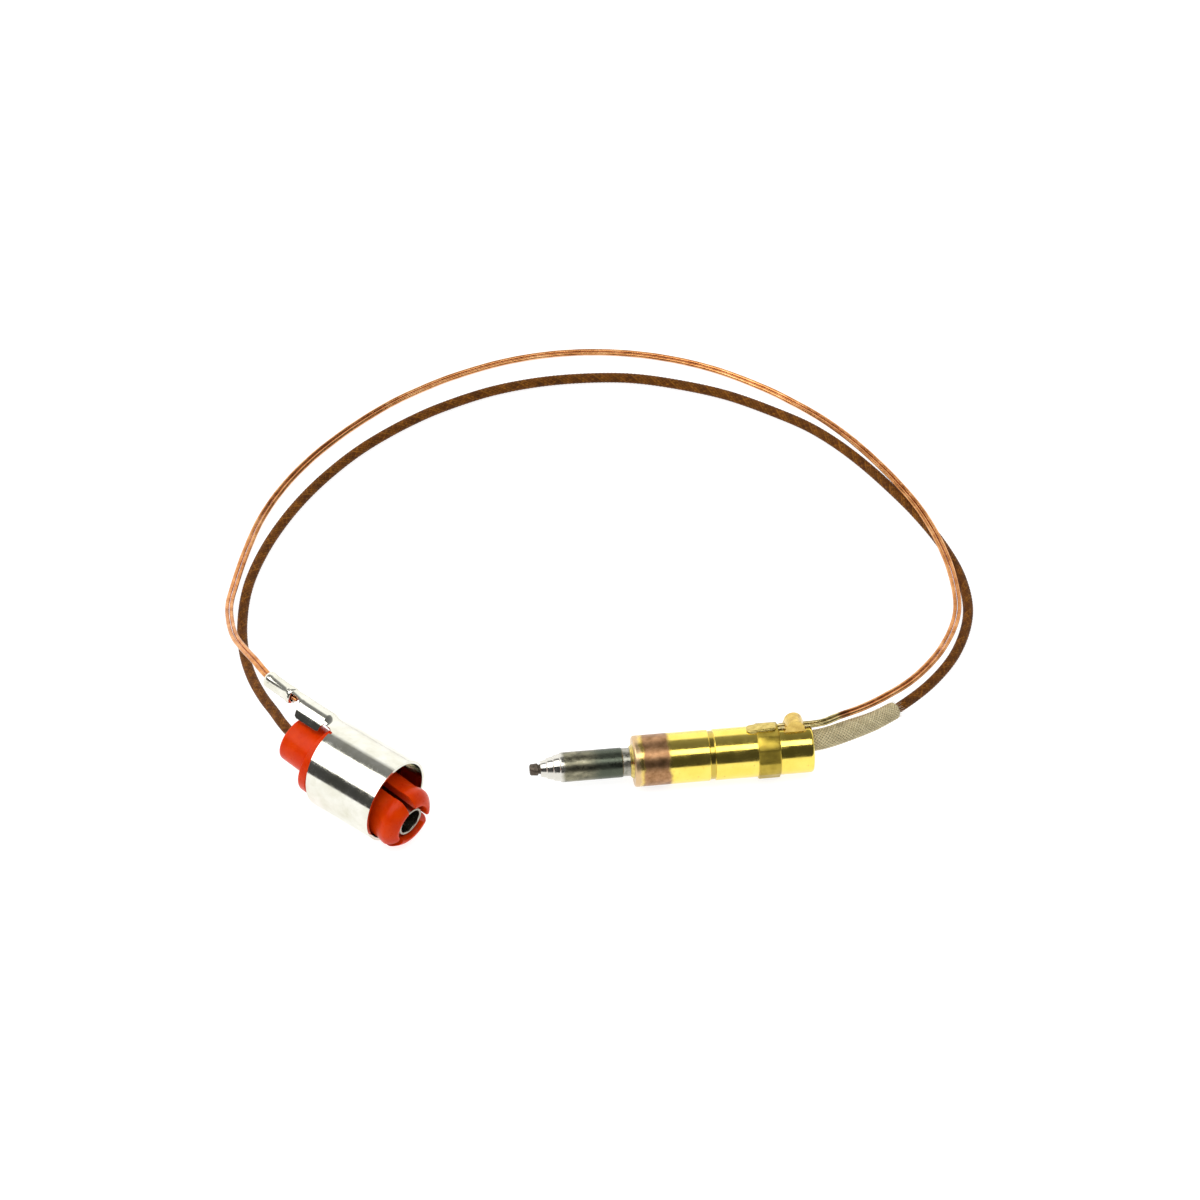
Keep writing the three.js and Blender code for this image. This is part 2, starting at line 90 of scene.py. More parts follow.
WIRE_RADIUS = 0.25
WIRE_SPACING = 0.54
WIRE_ROUTE = [
    (-44, 8.45, 9.96), (-45.06, 9.87, 9.8), (-46.3, 11.55, 9.63), (-47.6, 13.8, 9.4),
    (-48.7, 16.6, 8.8), (-49.8, 20, 7.4), (-50.8, 24, 5.6), (-51.2, 28.5, 3.8),
    (-51.1, 32.9, 2.4), (-50.2, 37.6, 1.2), (-48.4, 44, 0.5), (-46, 50.2, 0.3),
    (-42.8, 55.6, 0.3), (-39.1, 60.2, 0.3), (-35.3, 63.9, 0.3), (-31.4, 67.1, 0.3),
    (-27.5, 69.8, 0.3), (-23.6, 71.9, 0.3), (-19.8, 73.6, 0.3), (-12.6, 75.8, 0.3),
    (-5.6, 76.6, 0.3), (1.2, 76.1, 0.3), (7.8, 74.4, 0.3), (14.3, 71.4, 0.3),
    (20.6, 66.9, 0.3), (23.7, 63.8, 0.5), (26.7, 60, 1), (29.5, 55.6, 1.55), (32.1, 51, 1.8),
    (34.6, 46.1, 1.8), (36.8, 40.8, 1.75), (38.3, 34.8, 1.75), (39, 28.3, 1.75),
    (38.5, 22, 1.8), (35.6, 15.6, 2.3), (31.2, 10.1, 3.1), (27.1, 6.6, 4), (23.6, 4.1, 4.9),
    (20.8, 2.5, 5.6), (18.6, 1.2, 6.1), (17.1, 0.85, 6.28), (15.6, 0.82, 6.3),
    (14.2, 0.82, 6.3), (13, 0.82, 6.3),
]

# -------- probe, stations from the bead
BODY_START = 12.5
BODY_END = 34.2
BODY_RADIUS = 3.1
REAR_RADIUS = 3.08
COLLAR = Sizes(start=27.5, end=30.1, flat=3.25, round=3.36)
GROOVE = Sizes(start=21.6, end=22.3, depth=0.15)
CAVITY = Sizes(start=17.4, radius=2.4)
SHEATH_RADIUS = 1.8
NECK_RADIUS = 1.7
WIRE_SIDE = math.radians(-15)
CHANNEL = Sizes(start=30.0, half=0.675, floor=2.78)
REAR_BUSH = Sizes(start=31.2, end=33.9, radius=2.3, bore=1.5, rise=0.73)
LEDGE = Sizes(start=26.3, end=29.9, half=0.85, low=3.0, top=3.56)
LUG = Sizes(start=30.9, end=33.3, half=1.05, top=4.4, low=2.9, flare=0.3)

# -------- plug, stations from the rim
PLUG_RIM = (-33.6, -5.1, 5.3)
PLUG_HEADING = math.radians(-44.7)
PLUG_ROLL = math.radians(-27)
INSULATOR_TILT = math.radians(6)
TILT_STATION = -10.5
SHELL = Sizes(length=10.0, radius=5.3, wall=0.35, seam=0.06)
STRAP = Sizes(trough=1.77, bend=math.radians(80), arched_to=-10.2, bent_from=-11.8)
NOTCH = Sizes(width=0.4, depth=0.25)
REAR_SLANT = 0.9
BARREL = Sizes(start=-17.6, length=4.7, radius=1.0, bore=0.7, height=5.2)
BARREL_YAW = -0.17
BARREL_PITCH = -0.01
BOSS = Sizes(back=-15.9, radius=3.0, hole=0.9)
FLANGE = Sizes(front=-10.05, back=-11.2, radius=4.6)
CORE = Sizes(front=-5.0, radius=3.8, collar_front=-8.6, collar_radius=4.5)
CONTACT = Sizes(tip=2.9, back=-9.2, radius=1.9, bore=1.55, floor=-6.0)
CONTACT_TAIL = Sizes(back=-11.6, radius=0.75, bore=0.5)
FINGER = Sizes(root=-4.7, tip=3.3, bore=2.35, radius=3.75, barb=3.95, slot=1.1)
FIRST_SLOT_ANGLE = math.radians(3)
FINGER_COUNT = 3


# ======== shape helpers
def frame_of_probe():
    """Stations along X from the bead's face, on the sheath's axis."""
    bead_low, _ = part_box("hot_junction_bead")
    low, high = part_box("sensing_sheath")
    axis = (low + high) / 2
    return Matrix.Translation((bead_low.x / MM, axis.y / MM, axis.z / MM))


PROBE = frame_of_probe()
PLUG = (
    Matrix.Translation(PLUG_RIM)
    @ Matrix.Rotation(PLUG_HEADING, 4, "Z")
    @ Matrix.Rotation(PLUG_ROLL, 4, "X")
)
INSULATOR = (
    PLUG
    @ Matrix.Translation((TILT_STATION, 0, 0))
    @ Matrix.Rotation(INSULATOR_TILT, 4, "Y")
    @ Matrix.Translation((-TILT_STATION, 0, 0))
)
CRIMP = (
    PLUG
    @ Matrix.Translation((BARREL.start, 0, BARREL.height))
    @ Matrix.Rotation(BARREL_YAW, 4, "Z")
    @ Matrix.Rotation(BARREL_PITCH, 4, "Y")
)
AT_WIRES = PROBE @ Matrix.Rotation(WIRE_SIDE, 4, "X")
HERE = Matrix.Identity(4)


def added(name, data):
    """An object of this data, in the scene."""
    made = bpy.data.objects.new(name, data)
    bpy.context.collection.objects.link(made)
    return made


def mesh_object(name, verts, faces, place=HERE, sharp=35.0, values=None):
    """An object from points in millimetres in a part's own frame, with one number list per name."""
    points = np.asarray(verts, dtype=float)
    turn = np.array(place.to_3x3())
    points = (points @ turn.T + np.array(place.translation)) * MM
    mesh = bpy.data.meshes.new(name)
    mesh.from_pydata(points.tolist(), [], faces)
    for key, numbers in (values or {}).items():
        layer = mesh.attributes.new(key, "FLOAT", "POINT")
        layer.data.foreach_set("value", np.asarray(numbers, dtype=np.float32).ravel())
    work = bmesh.new()
    work.from_mesh(mesh)
    bmesh.ops.recalc_face_normals(work, faces=work.faces)
    work.to_mesh(mesh)
    work.free()
    mesh.shade_smooth()
    mesh.set_sharp_from_angle(angle=math.radians(sharp))
    return added(name, mesh)


def rounded(points, steps=4):
    """(station, radius) points, where a third number rounds that corner off with a curve."""
    made = []
    for i, point in enumerate(points):
        here = Vector(point[:2])
        fillet = point[2] if len(point) > 2 else 0
        if not fillet or i in (0, len(points) - 1):
            made.append(tuple(here))
            continue
        before = Vector(points[i - 1][:2]) - here
        after = Vector(points[i + 1][:2]) - here
        start = here + before.normalized() * min(fillet, before.length * 0.49)
        end = here + after.normalized() * min(fillet, after.length * 0.49)
        for k in range(steps + 1):
            t = k / steps
            made.append(tuple(start * (1 - t) ** 2 + here * 2 * t * (1 - t) + end * t ** 2))
    return made


def strip_faces(rows, columns, closed_along=False, first=0):
    """Quads between neighbouring rows of a grid of points whose rows close round."""
    faces = []
    for i in range(rows if closed_along else rows - 1):
        below, above = first + i * columns, first + (i + 1) % rows * columns
        for j in range(columns):
            k = (j + 1) % columns
            faces.append((below + j, below + k, above + k, above + j))
    return faces


def fans(rows, columns, front, back):
    """Triangles from a grid's first row to the front point and from its last to the back one."""
    faces = []
    last = (rows - 1) * columns
    for j in range(columns):
        k = (j + 1) % columns
        faces += [(front, k, j), (back, last + j, last + k)]
    return faces


def revolved(name, profile, place, sides=96, radius_at=None, sharp=35.0, angles=None):
    """A solid turned about X. A profile closes on itself, or starts and ends on the axis."""
    closed = profile[0] == profile[-1]
    rings = profile[:-1] if closed else profile[1:-1]
    if angles is None:
        angles = [TURN * j / sides for j in range(sides)]
    verts = []
    for station, radius in rings:
        for angle in angles:
            r = radius_at(station, radius, angle) if radius_at else radius
            verts.append((station, r * math.sin(angle), r * math.cos(angle)))
    columns = len(angles)
    faces = strip_faces(len(rings), columns, closed_along=closed)
    if not closed:
        verts += [(profile[0][0], 0, 0), (profile[-1][0], 0, 0)]
        faces += fans(len(rings), columns, len(verts) - 2, len(verts) - 1)
    return mesh_object(name, verts, faces, place, sharp)


def ring(station, radius, sides, middle=(0.0, 0.0)):
    """A circle of points round X, its radius a number or worked out from the angle."""
    made = []
    for j in range(sides):
        angle = TURN * j / sides
        r = radius(angle) if callable(radius) else radius
        made.append((station, middle[0] + r * math.sin(angle), middle[1] + r * math.cos(angle)))
    return made


def end_caps(rings, columns, first=0):
    """The two flat ends of a grid of points that closes round, as strip_faces numbers them."""
    last = first + (rings - 1) * columns
    return [
        tuple(first + j for j in reversed(range(columns))),
        tuple(last + j for j in range(columns))]


def smooth_path(route, spacing):
    """Evenly spaced points on the centripetal Catmull-Rom curve through a route."""
    points = [Vector(p) for p in route]
    ends = [2 * points[0] - points[1], *points, 2 * points[-1] - points[-2]]
    fine = []
    for a, b, c, d in zip(ends, ends[1:], ends[2:], ends[3:]):
        t1 = (b - a).length ** 0.5
        t2 = t1 + (c - b).length ** 0.5
        t3 = t2 + (d - c).length ** 0.5
        for k in range(24):
            t = t1 + (t2 - t1) * k / 24
            ab = a.lerp(b, t / t1)
            bc = b.lerp(c, (t - t1) / (t2 - t1))
            cd = c.lerp(d, (t - t2) / (t3 - t2))
            abc = ab.lerp(bc, t / t2)
            bcd = bc.lerp(cd, (t - t1) / (t3 - t1))
            fine.append(abc.lerp(bcd, (t - t1) / (t2 - t1)))
    fine.append(points[-1])
    fine = np.array(fine)
    gone = np.concatenate([[0], np.cumsum(np.linalg.norm(np.diff(fine, axis=0), axis=1))])
    count = max(2, round(gone[-1] / spacing) + 1)
    even = np.linspace(0, gone[-1], count)
    return np.stack([np.interp(even, gone, fine[:, i]) for i in range(3)], axis=1), even


def frames_along(path):
    """Two directions across the path at each point, carried along it without twist."""
    tangents = np.gradient(path, axis=0)
    tangents /= np.linalg.norm(tangents, axis=1)[:, None]
    side = np.cross((0, 0, 1), tangents[0])
    sides, ups = [], []
    for tangent in tangents:
        side = side - tangent * side.dot(tangent)
        side = side / np.linalg.norm(side)
        sides.append(side)
        ups.append(np.cross(tangent, side))
    return np.array(sides), np.array(ups)


def swept(name, path, radii, values):
    """A closed tube along a path, from its radius at each point along and each step round."""
    sides, ups = frames_along(path)
    rows, columns = radii.shape
    angles = np.arange(columns) * TURN / columns
    around = (
        np.cos(angles)[None, :, None] * sides[:, None, :]
        + np.sin(angles)[None, :, None] * ups[:, None, :]
    )
    verts = (path[:, None, :] + around * radii[:, :, None]).reshape(-1, 3)
    verts = np.concatenate([verts, path[:1], path[-1:]])
    faces = strip_faces(rows, columns) + fans(rows, columns, rows * columns, rows * columns + 1)
    with_caps = {key: np.append(grid.ravel(), [0, 0]) for key, grid in values.items()}
    return mesh_object(name, verts, faces, HERE, 60, with_caps)


def braid(along, angle, yarns, cell):
    """Height, tone and place across the yarn, 0 to 1, of a plain braid round a tube."""
    turn = yarns * angle / TURN
    a, b = turn + along / cell, turn - along / cell
    row_a, row_b = np.floor(a), np.floor(b)
    across_a, across_b = a - row_a - 0.5, b - row_b - 0.5
    over_a = np.cos(math.pi * (b - 0.5) + math.pi * row_a)
    over_b = -np.cos(math.pi * (a - 0.5) + math.pi * row_b)
    ridge_a = np.clip(1 - (2.1 * across_a) ** 2, 0, 1) ** 0.6
    ridge_b = np.clip(1 - (2.1 * across_b) ** 2, 0, 1) ** 0.6
    height_a = ridge_a * (0.6 + 0.4 * over_a)
    height_b = ridge_b * (0.6 + 0.4 * over_b)
    on_top = height_a > height_b
    index = np.where(on_top, np.mod(row_a, yarns), np.mod(row_b, yarns) + 0.37)
    tone = np.mod(np.sin(index * 12.9898) * 43758.5453, 1)
    return np.maximum(height_a, height_b), tone, np.where(on_top, across_a, across_b) + 0.5


def smoothstep(value, start, end):
    """0 at start and 1 at end, smoothly."""
    t = np.clip((value - start) / (end - start), 0, 1)
    return t * t * (3 - 2 * t)


def lumps(point, size, seed):
    """Smooth noise, -1 to 1, at a point in millimetres."""
    return noise.noise(Vector(point) / size + Vector((seed, seed * 1.7, seed * 0.6)))


def bevelled(obj, width, segments, angle=40.0):
    modifier = obj.modifiers.new("edges", "BEVEL")
    modifier.width = width * MM
    modifier.segments = segments
    modifier.limit_method = "ANGLE"
    modifier.angle_limit = math.radians(angle)
    modifier.harden_normals = True
    return obj


# ======== materials
# Places of a Mix node's colour sockets among its sockets for other kinds of value.
MIX_FIRST, MIX_SECOND, MIX_RESULT = 6, 7, 2


class Nodes:
    """Shorthand for building a node tree."""

    def __init__(self, tree):
        self.tree = tree

    def node(self, kind, inputs=None, **properties):
        made = self.tree.nodes.new(kind)
        for key, value in properties.items():
            setattr(made, key, value)
        for key, value in (inputs or {}).items():
            self.feed(made.inputs[key], value)
        return made

    def feed(self, socket, value):
        if isinstance(value, bpy.types.NodeSocket):
            self.tree.links.new(value, socket)
        elif isinstance(value, tuple) and len(value) == 3 and socket.type == "RGBA":
            socket.default_value = (*value, 1)
        else:
            socket.default_value = value

    def ramp(self, factor, *stops):
        """A value or colour that runs through (position, value) stops."""
        made = self.node("ShaderNodeValToRGB", {"Fac": factor})
        ramp = made.color_ramp
        while len(ramp.elements) < len(stops):
            ramp.elements.new(0.5)
        for element, (position, value) in zip(ramp.elements, stops):
            element.position = position
            element.color = (*value, 1) if isinstance(value, tuple) else (value, value, value, 1)
        return made.outputs["Color"]

    def math(self, operation, first, second=0.0):
        return self.node("ShaderNodeMath", {0: first, 1: second}, operation=operation).outputs[0]

    def times(self, first, second):
        return self.math("MULTIPLY", first, second)


class Finish(Nodes):
    """A node material with one Principled shader, its coordinates in millimetres."""

    def __init__(self, name, **values):
        self.material = bpy.data.materials.new(name)
        self.material.use_nodes = True
        super().__init__(self.material.node_tree)
        self.shader = self.tree.nodes["Principled BSDF"]
        coordinates = self.node("ShaderNodeTexCoord").outputs["Object"]
        scaled = self.node("ShaderNodeVectorMath", {0: coordinates}, operation="SCALE")
        scaled.inputs["Scale"].default_value = 1 / MM
        self.place = scaled.outputs[0]
        for key, value in values.items():
            self.set(key, value)

    def set(self, name, value):
        self.feed(self.shader.inputs[name], value)

    def noise(self, size, detail=3.0, rough=0.5, stretch=(1, 1, 1)):
        """Noise with lumps of about this many millimetres, stretched along the axes."""
        scale = tuple(1 / (size * part) for part in stretch)
        place = self.node("ShaderNodeMapping", {"Vector": self.place, "Scale": scale})
        made = self.node("ShaderNodeTexNoise", {
            "Vector": place.outputs[0], "Scale": 1.0, "Detail": detail, "Roughness": rough})
        return made.outputs["Fac"]

    def mottle(self, name, size, detail, rough, low, high):
        """Lets an input drift between two values over lumps of a size."""
        self.set(name, self.ramp(self.noise(size, detail, rough), (0.3, low), (0.7, high)))

    def between(self, value, start, end):
        """0 at start and 1 at end, smoothly."""
        made = self.node("ShaderNodeMapRange", {
            "Value": value, "From Min": start, "From Max": end}, interpolation_type="SMOOTHSTEP")
        return made.outputs["Result"]

    def band(self, value, start, full, fading, end):
        """1 from full to fading, and down to 0 at start and end."""
        return self.times(self.between(value, start, full), self.between(value, end, fading))

    def mix(self, factor, first, second, blend="MIX"):
        made = self.node(
            "ShaderNodeMix", {"Factor": factor}, data_type="RGBA", blend_type=blend)
        self.feed(made.inputs[MIX_FIRST], first)
        self.feed(made.inputs[MIX_SECOND], second)
        return made.outputs[MIX_RESULT]

    def probe_station(self):
        parts = self.node("ShaderNodeSeparateXYZ", {0: self.place})
        return self.math("SUBTRACT", parts.outputs["X"], PROBE.translation.x)

    def attribute(self, name):
        return self.node("ShaderNodeAttribute", attribute_name=name).outputs["Fac"]

    def bump(self, height, depth, strength=1.0, normal=None):
        """A bump whose full height is this many millimetres, over one before it."""
        inputs = {"Height": height, "Distance": depth * MM, "Strength": strength}
        if normal is not None:
            inputs["Normal"] = normal
        made = self.node("ShaderNodeBump", inputs)
        self.set("Normal", made.outputs[0])
        return made.outputs[0]


def brass_finish():
    """Turned brass, heat-stained behind its front face, with painted shade in its groove, and
    dulled on the collar.
    """
    f = Finish("turned_brass", Metallic=1.0)
    station = f.probe_station()
    wander = f.noise(1.1, 3)
    shifted = f.math("ADD", station, f.times(f.math("SUBTRACT", wander, 0.5), 0.9))
    clean = f.ramp(f.noise(2.6, 4, 0.6), (0.3, (0.88, 0.67, 0.11)), (0.7, (0.96, 0.76, 0.17)))
    front = BODY_START
    stain = f.band(shifted, front + 0.6, front + 1.3, front + 4.0, front + 4.7)
    pink = f.ramp(
        f.noise(0.75, 4, 0.6), (0.30, (0.17, 0.065, 0.04)), (0.48, (0.29, 0.13, 0.085)),
        (0.70, (0.44, 0.225, 0.135)))
    colour = f.mix(f.times(stain, 0.9), clean, pink)
    rim = f.between(shifted, front + 1.1, front + 0.4)
    colour = f.mix(f.times(rim, 0.85), colour, (0.62, 0.42, 0.27))
    # Painted shade: the groove's floor is darkened towards dark olive.
    start, end = GROOVE.start, GROOVE.end
    groove = f.band(station, start, start + 0.12, end - 0.12, end)
    colour = f.mix(f.times(groove, 0.55), colour, (0.26, 0.17, 0.03))
    start, end = COLLAR.start, COLLAR.end
    collar = f.band(station, start - 0.2, start + 0.1, end - 0.1, end + 0.2)
    tan = f.ramp(f.noise(0.9, 3), (0.35, (0.36, 0.26, 0.035)), (0.65, (0.46, 0.34, 0.05)))
    colour = f.mix(f.times(collar, 0.95), colour, tan)
    spots = f.ramp(f.noise(0.35, 2, 0.5), (0.66, 0.0), (0.74, 1.0))
    colour = f.mix(f.times(spots, 0.35), colour, (0.35, 0.18, 0.05))
    f.set("Base Color", colour)
    smudge = f.ramp(f.noise(1.6, 5, 0.65), (0.35, 0.10), (0.7, 0.22))
    rough = f.math("ADD", smudge, f.times(f.math("MAXIMUM", stain, rim), 0.2))
    f.set("Roughness", f.math("ADD", rough, f.times(collar, 0.24)))
    lines = f.noise(0.03, 2, 0.5, stretch=(1, 60, 60))
    turned = f.bump(lines, 0.004, 0.5)
    f.bump(f.noise(0.5, 3, 0.6), 0.012, 0.35, turned)
    return f.material


def sheath_finish():
    """Polished at the nose, then dark and greenish with heat, and pale again at the neck."""
    f = Finish("heat_tinted_steel", Metallic=1.0)
    station = f.probe_station()
    shifted = f.math("ADD", station, f.times(f.math("SUBTRACT", f.noise(0.8), 0.5), 0.6))
    barrel = f.ramp(
        f.noise(0.9, 4, 0.65, stretch=(1.8, 1, 1)), (0.3, (0.095, 0.092, 0.065)),
        (0.52, (0.23, 0.215, 0.145)), (0.72, (0.40, 0.375, 0.26)))
    green = (0.085, 0.098, 0.072)
    colour = f.mix(f.between(shifted, 6.3, 8.9), barrel, green)
    nose = f.between(shifted, 4.3, 3.6)
    colour = f.mix(nose, colour, (0.66, 0.64, 0.58))
    neck = f.between(station, 11.05, 11.3)
    neck_metal = f.ramp(f.noise(0.5), (0.35, (0.25, 0.245, 0.20)), (0.65, (0.45, 0.43, 0.37)))
    colour = f.mix(neck, colour, neck_metal)
    f.set("Base Color", colour)
    rough = f.ramp(f.noise(0.5, 4), (0.3, 0.24), (0.7, 0.42))
    rough = f.math("SUBTRACT", rough, f.times(nose, 0.16))
    f.set("Roughness", rough)
    lines = f.bump(f.noise(0.04, 2, 0.5, stretch=(1, 50, 50)), 0.006, 0.5)
    f.bump(f.noise(0.25, 4, 0.6), 0.015, 0.4, lines)
    return f.material


def bead_finish():
    f = Finish("scaled_weld", Metallic=0.6)
    f.set("Base Color", f.ramp(
        f.noise(0.3, 4, 0.7), (0.3, (0.035, 0.028, 0.022)), (0.55, (0.11, 0.085, 0.06)),
        (0.75, (0.24, 0.19, 0.14))))
    f.mottle("Roughness", 0.2, 3, 0.5, 0.35, 0.65)
    f.bump(f.noise(0.12, 4, 0.7), 0.03, 0.7)
    return f.material


def metal_finish(name, dark, light, size, rough):
    """Plain metal whose colour and gloss drift over a few tenths of a millimetre."""
    f = Finish(name, Metallic=1.0)
    f.mottle("Base Color", size, 4, 0.6, dark, light)
    f.mottle("Roughness", size * 0.6, 4, 0.6, *rough)
    f.bump(f.noise(0.05, 3, 0.6), 0.006, 0.5)
    return f.material


def copper_finish():
    """Drawn copper, with tarnish in drifts and braze metal run along the end at the probe."""
    f = Finish("drawn_copper", Metallic=1.0)
    along = f.attribute("along")
    bright = f.ramp(
        f.noise(2.2, 4, 0.65), (0.3, (0.40, 0.14, 0.04)), (0.5, (0.66, 0.29, 0.10)),
        (0.72, (0.86, 0.48, 0.22)))
    brassy = f.ramp(f.noise(0.6, 3), (0.35, (0.42, 0.34, 0.13)), (0.65, (0.72, 0.58, 0.28)))
    coated = f.between(f.math("ADD", along, f.times(f.noise(0.7), 0.8)), 9.0, 8.2)
    burnt = f.band(along, 7.9, 8.5, 9.0, 10.2)
    colour = f.mix(coated, bright, brassy)
    colour = f.mix(f.times(burnt, 0.6), colour, (0.22, 0.09, 0.035))
    f.set("Base Color", colour)
    f.mottle("Roughness", 0.8, 4, 0.5, 0.16, 0.34)
    f.bump(f.noise(0.05, 3, 0.5), 0.006, 0.4)
    return f.material


def fibre_finish(name, painted_gap_shade, yarn, pale, rough, filaments, drift, shine=0.5):
    """Braided yarn, with painted shade down between the yarns, and fine filaments along each."""
    f = Finish(name)
    height = f.attribute("height")
    tone = f.attribute("tone")
    across = f.attribute("across")
    blotch = f.ramp(f.noise(1.4, 4, 0.6), (0.3, drift[0]), (0.7, drift[1]))
    body = f.mix(1.0, f.mix(f.times(tone, 0.6), yarn, pale), blotch, "MULTIPLY")
    # Painted shade: the low parts between the yarns take the dark gap colour.
    f.set("Base Color", f.mix(f.between(height, 0.15, 0.7), painted_gap_shade, body))
    f.mottle("Roughness", 0.5, 3, 0.5, *rough)
    f.set("Specular IOR Level", shine)
    stripes = f.math("SINE", f.times(across, TURN * filaments))
    first = f.bump(stripes, 0.008, 0.6)
    f.bump(f.noise(0.06, 3, 0.7), 0.02, 0.4, first)
    return f.material


def shell_finish():
    """Bright nickel plate with faint drawing lines, rubs and a warm bloom."""
    f = Finish("nickel_plate", Metallic=1.0)
    f.set("Base Color", f.ramp(
        f.noise(2.5, 4, 0.6), (0.3, (0.67, 0.655, 0.54)), (0.65, (0.80, 0.79, 0.71))))
    rubbed = f.ramp(f.noise(0.9, 5, 0.7), (0.4, 0.07), (0.75, 0.2))
    f.set("Roughness", rubbed)
    lines = f.bump(f.noise(0.05, 2, 0.5), 0.002, 0.5)
    f.bump(f.noise(1.6, 2, 0.5), 0.02, 0.25, lines)
    return f.material


def plastic_finish():
    """Moulded orange polyamide, a little translucent, with a fine skin."""
    f = Finish("moulded_orange")
    f.mottle("Base Color", 1.8, 3, 0.5, (0.62, 0.030, 0.0), (0.74, 0.053, 0.0))
    f.mottle("Roughness", 0.4, 4, 0.6, 0.24, 0.38)
    f.set("Subsurface Weight", 0.12)
    f.set("Subsurface Radius", (1.0, 0.35, 0.1))
    f.set("Subsurface Scale", 0.6 * MM)
    f.set("Specular IOR Level", 0.1)
    skin = f.bump(f.noise(0.07, 3, 0.6), 0.006, 0.5)
    f.bump(f.noise(0.7, 2, 0.5), 0.02, 0.3, skin)
    return f.material


def chalky_finish(name, dark, light):
    f = Finish(name)
    f.mottle("Base Color", 0.5, 4, 0.65, dark, light)
    f.mottle("Roughness", 0.3, 3, 0.5, 0.7, 0.9)
    f.bump(f.noise(0.15, 4, 0.7), 0.03, 0.5)
    return f.material


def floor_finish():
    f = Finish("pale_floor", Roughness=0.7)
    f.mottle("Base Color", 40.0, 3, 0.5, (0.34,) * 3, (0.36,) * 3)
    f.set("Specular IOR Level", 0.1)
    f.set("Emission Color", (1.0, 1.0, 1.0))
    f.set("Emission Strength", 0.86)
    return f.material


# ======== camera, floor and light
def add_camera():
    camera = added("camera", bpy.data.cameras.new("camera"))
    level = math.cos(ELEVATION)
    back = Vector((math.sin(AZIMUTH) * level, -math.cos(AZIMUTH) * level, math.sin(ELEVATION)))
    camera.location = (Vector(AIM) + back * DISTANCE) * MM
    camera.rotation_euler = (-back).to_track_quat("-Z", "Y").to_euler()
    camera.data.lens = LENS
    camera.data.sensor_width = SENSOR
    camera.data.clip_start = 0.01
    bpy.context.scene.camera = camera


def add_floor():
    work = bmesh.new()
    bmesh.ops.create_circle(work, cap_ends=True, segments=96, radius=4.0)
    mesh = bpy.data.meshes.new("floor")
    work.to_mesh(mesh)
    work.free()
    floor = added("floor", mesh)
    floor.location.z = -0.05 * MM
    mesh.materials.append(floor_finish())


def add_panel(name, centre, size, power):
    """A soft box: a rectangle of light that faces down."""
    light = bpy.data.lights.new(name, "AREA")
    light.shape = "RECTANGLE"
    light.size, light.size_y = size
    light.energy = power
    added(name, light).location = centre


def add_world():
    """A dim studio with a bright wall low at the back, told apart by height over the Y axis."""
    world = bpy.data.worlds.new("studio")
    bpy.context.scene.world = world
    world.use_nodes = True
    sky = Nodes(world.node_tree)
    where = sky.node("ShaderNodeTexCoord").outputs["Generated"]
    parts = sky.node("ShaderNodeSeparateXYZ", {0: where}).outputs
    rise = sky.math("ARCTAN2", parts["Z"], sky.times(parts["Y"], -1))
    glow = sky.ramp(
        sky.math("DIVIDE", rise, math.pi), (0.0, 0.7), (0.02, 0.07), (0.30, 0.06), (0.46, 0.14),
        (0.60, 0.2), (0.72, 0.3), (0.765, 1.35))
    sky.feed(sky.tree.nodes["Background"].inputs["Color"], glow)


add_camera()
add_floor()
add_world()
add_panel("left_soft_box", (-1.35, -0.165, 1.5), (2.1, 1.47), 30.0)
add_panel("front_soft_box", (0.525, -0.58, 1.5), (1.65, 0.68), 11.0)
bpy.context.scene.view_settings.view_transform = "Standard"


# ======== finishes in use
BRASS = brass_finish()
STEEL = sheath_finish()
WELD = bead_finish()
BRAZE = metal_finish("braze_metal", (0.46, 0.34, 0.08), (0.74, 0.58, 0.19), 0.6, (0.15, 0.32))
LUG_METAL = metal_finish("lug_brass", (0.50, 0.33, 0.08), (0.76, 0.55, 0.15), 0.9, (0.12, 0.28))
COPPER = copper_finish()
CUT_COPPER = metal_finish("cut_copper", (0.30, 0.09, 0.04), (0.62, 0.26, 0.12), 0.3, (0.25, 0.5))
ALLOY = metal_finish("element_alloy", (0.30, 0.28, 0.25), (0.55, 0.52, 0.47), 0.4, (0.3, 0.5))
NICKEL = shell_finish()
CONTACT_METAL = metal_finish(
    "contact_plate", (0.24, 0.23, 0.18), (0.46, 0.44, 0.37), 0.8, (0.14, 0.3))
ORANGE = plastic_finish()
# The first colour given to each braid is painted shade down between its yarns.
LEAD_BRAID = fibre_finish(
    "varnished_braid", (0.028, 0.006, 0.0), (0.125, 0.036, 0.002), (0.36, 0.135, 0.012),
    (0.5, 0.7), 4, drift=(0.55, 1.15), shine=0.12)
GLASS_BRAID = fibre_finish(
    "glass_fibre_braid", (0.09, 0.065, 0.022), (0.60, 0.50, 0.28), (0.84, 0.74, 0.46),
    (0.6, 0.8), 5, drift=(0.86, 1.08))
GLASS_LOOSE = chalky_finish("loose_glass_fibre", (0.45, 0.42, 0.32), (0.7, 0.67, 0.56))
CERAMIC = chalky_finish("fired_ceramic", (0.50, 0.46, 0.37), (0.74, 0.70, 0.60))


def finish_piece(obj, material, slot, *replaced, body=ROOT):
    """Gives a piece its material, hangs it on its body, and stands it in for its CAD nodes. The
    slot argument is not used.
    """
    obj.data.materials.clear()
    obj.data.materials.append(material)
    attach(obj, body)
    if replaced:
        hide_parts(*replaced)
    return obj


# ======== cords
def metres(path, step):
    return [tuple(point * MM) for point in path[::step]] + [tuple(path[-1] * MM)]


